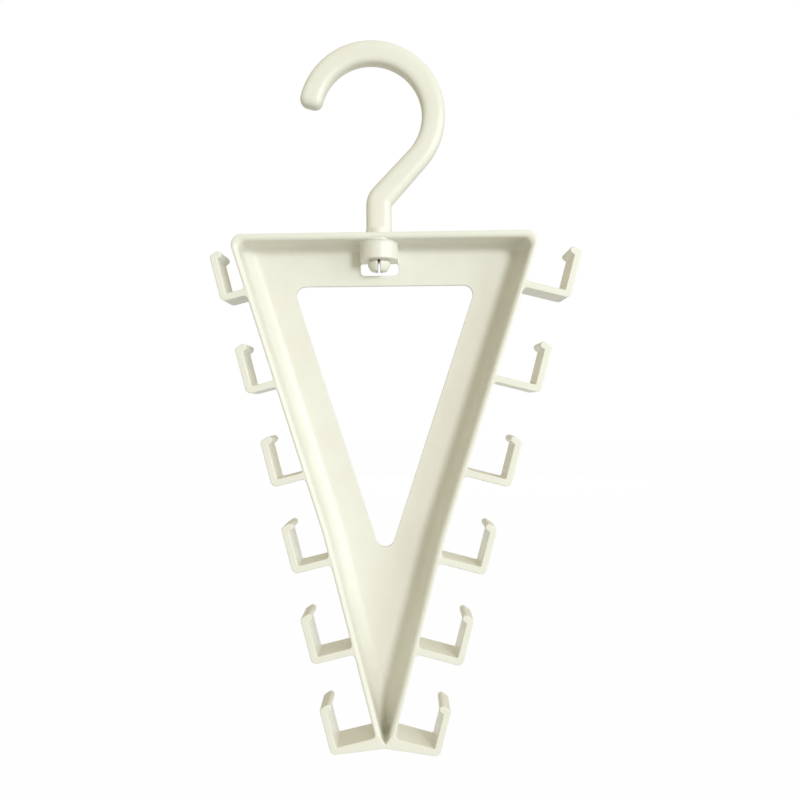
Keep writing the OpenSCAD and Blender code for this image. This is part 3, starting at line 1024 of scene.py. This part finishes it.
# %% [markdown]
# ## Studio
# The photograph shows the hanger against plain white with no stand, so it hangs in a bright
# studio over a pale floor. Only what the camera itself sees of floor and world is lifted to
# white, through Light Path, so the object gets no extra light. The key lamp stands in front, to
# the right and a little above: it casts the shadows of the right wall, the flange and the boss
# on the web. A soft side lamp lifts the left wall, a soft lamp behind lights the back, and the
# world fills the shadows.

# %% Floor
FLOOR_HALF, FLOOR_DROP = 6, 0.12
FLOOR_PAINT, FLOOR_ROUGHNESS, FLOOR_WHITE = (0.55, 0.55, 0.53, 1), 0.9, 0.985
WHITE = (1, 1, 1, 1)
CAMERA_RAY, GLOSSY_RAY, TRANSMISSION_RAY = 0, 3, 6  # outputs of the Light Path node


def rays_seen(tree, *kinds):
    """1 where a ray is of one of these kinds, and 0 elsewhere."""
    path = add(tree, "ShaderNodeLightPath")
    seen = path[kinds[0]]
    for kind in kinds[1:]:
        seen = seen.maths("MAXIMUM", seen, path[kind])
    return seen


def white_backdrop(tree, lit, strength):
    """Mixes a lit surface with plain white for camera, mirror and glass rays."""
    seen = rays_seen(tree, CAMERA_RAY, GLOSSY_RAY, TRANSMISSION_RAY)
    glow = add(tree, "ShaderNodeEmission", {}, {"Color": WHITE, "Strength": 1.0})[0]
    return add(tree, "ShaderNodeMixShader", {}, {0: seen * strength, 1: lit, 2: glow})[0]


def make_floor():
    mesh = bpy.data.meshes.new("floor")
    z, s = cad_low[2] - FLOOR_DROP, FLOOR_HALF
    mesh.from_pydata([(-s, -s, z), (s, -s, z), (s, s, z), (-s, s, z)], [], [(0, 1, 2, 3)])
    floor = bpy.data.objects.new("floor", mesh)
    bpy.context.scene.collection.objects.link(floor)
    material = bpy.data.materials.new("floor_paint")
    material.use_nodes = True
    tree = material.node_tree
    shader = tree.nodes["Principled BSDF"]
    shader.inputs["Base Color"].default_value = FLOOR_PAINT
    shader.inputs["Roughness"].default_value = FLOOR_ROUGHNESS
    mixed = white_backdrop(tree, Signal(tree, shader.outputs[0]), FLOOR_WHITE)
    tree.links.new(mixed.socket, tree.nodes["Material Output"].inputs["Surface"])
    mesh.materials.append(material)


make_floor()

# %% World
WORLD_COLOUR, WORLD_LIGHT = (1.0, 0.945, 0.73, 1), 0.60


def make_world():
    world = bpy.data.worlds.new("studio")
    bpy.context.scene.world = world
    world.use_nodes = True
    tree = world.node_tree
    sky = tree.nodes["Background"]
    sky.inputs["Color"].default_value = WORLD_COLOUR
    sky.inputs["Strength"].default_value = WORLD_LIGHT
    lit = Signal(tree, sky.outputs[0])
    seen = rays_seen(tree, CAMERA_RAY, TRANSMISSION_RAY)
    white = add(tree, "ShaderNodeBackground", {}, {"Color": WHITE, "Strength": 1.0})[0]
    mixed = add(tree, "ShaderNodeMixShader", {}, {0: seen, 1: lit, 2: white})[0]
    tree.links.new(mixed.socket, tree.nodes["World Output"].inputs["Surface"])


make_world()

# %% Lamps
LAMPS_AIM = (0.005, 0, -0.143)


def lamp(name, place, size, watts, colour):
    """Square area lamp that points at the hanger's middle."""
    data = bpy.data.lights.new(name, "AREA")
    data.shape, data.size, data.size_y = "RECTANGLE", size, size
    data.energy, data.color = watts, colour
    light = bpy.data.objects.new(name, data)
    bpy.context.scene.collection.objects.link(light)
    light.location = place
    aim = Vector(LAMPS_AIM) - Vector(place)
    light.rotation_euler = aim.to_track_quat("-Z", "Y").to_euler()
    print(name, watts, "W at", place)
    return light


lamp("side_lamp", (2.03, -1.34, 0.1), 1.1, 15.0, (0.85, 0.915, 1.0))
lamp("key_lamp", (1.14, -2.16, 0.31), 0.5, 27.0, (0.92, 0.965, 1.0))
back_lamp = lamp("back_lamp", (0.2, 2.6, 0.3), 1.4, 20.0, (0.97, 0.98, 1.0))
back_lamp.visible_glossy = False  # else it glares on the arms' inner faces

bpy.context.scene.view_settings.view_transform = "Standard"
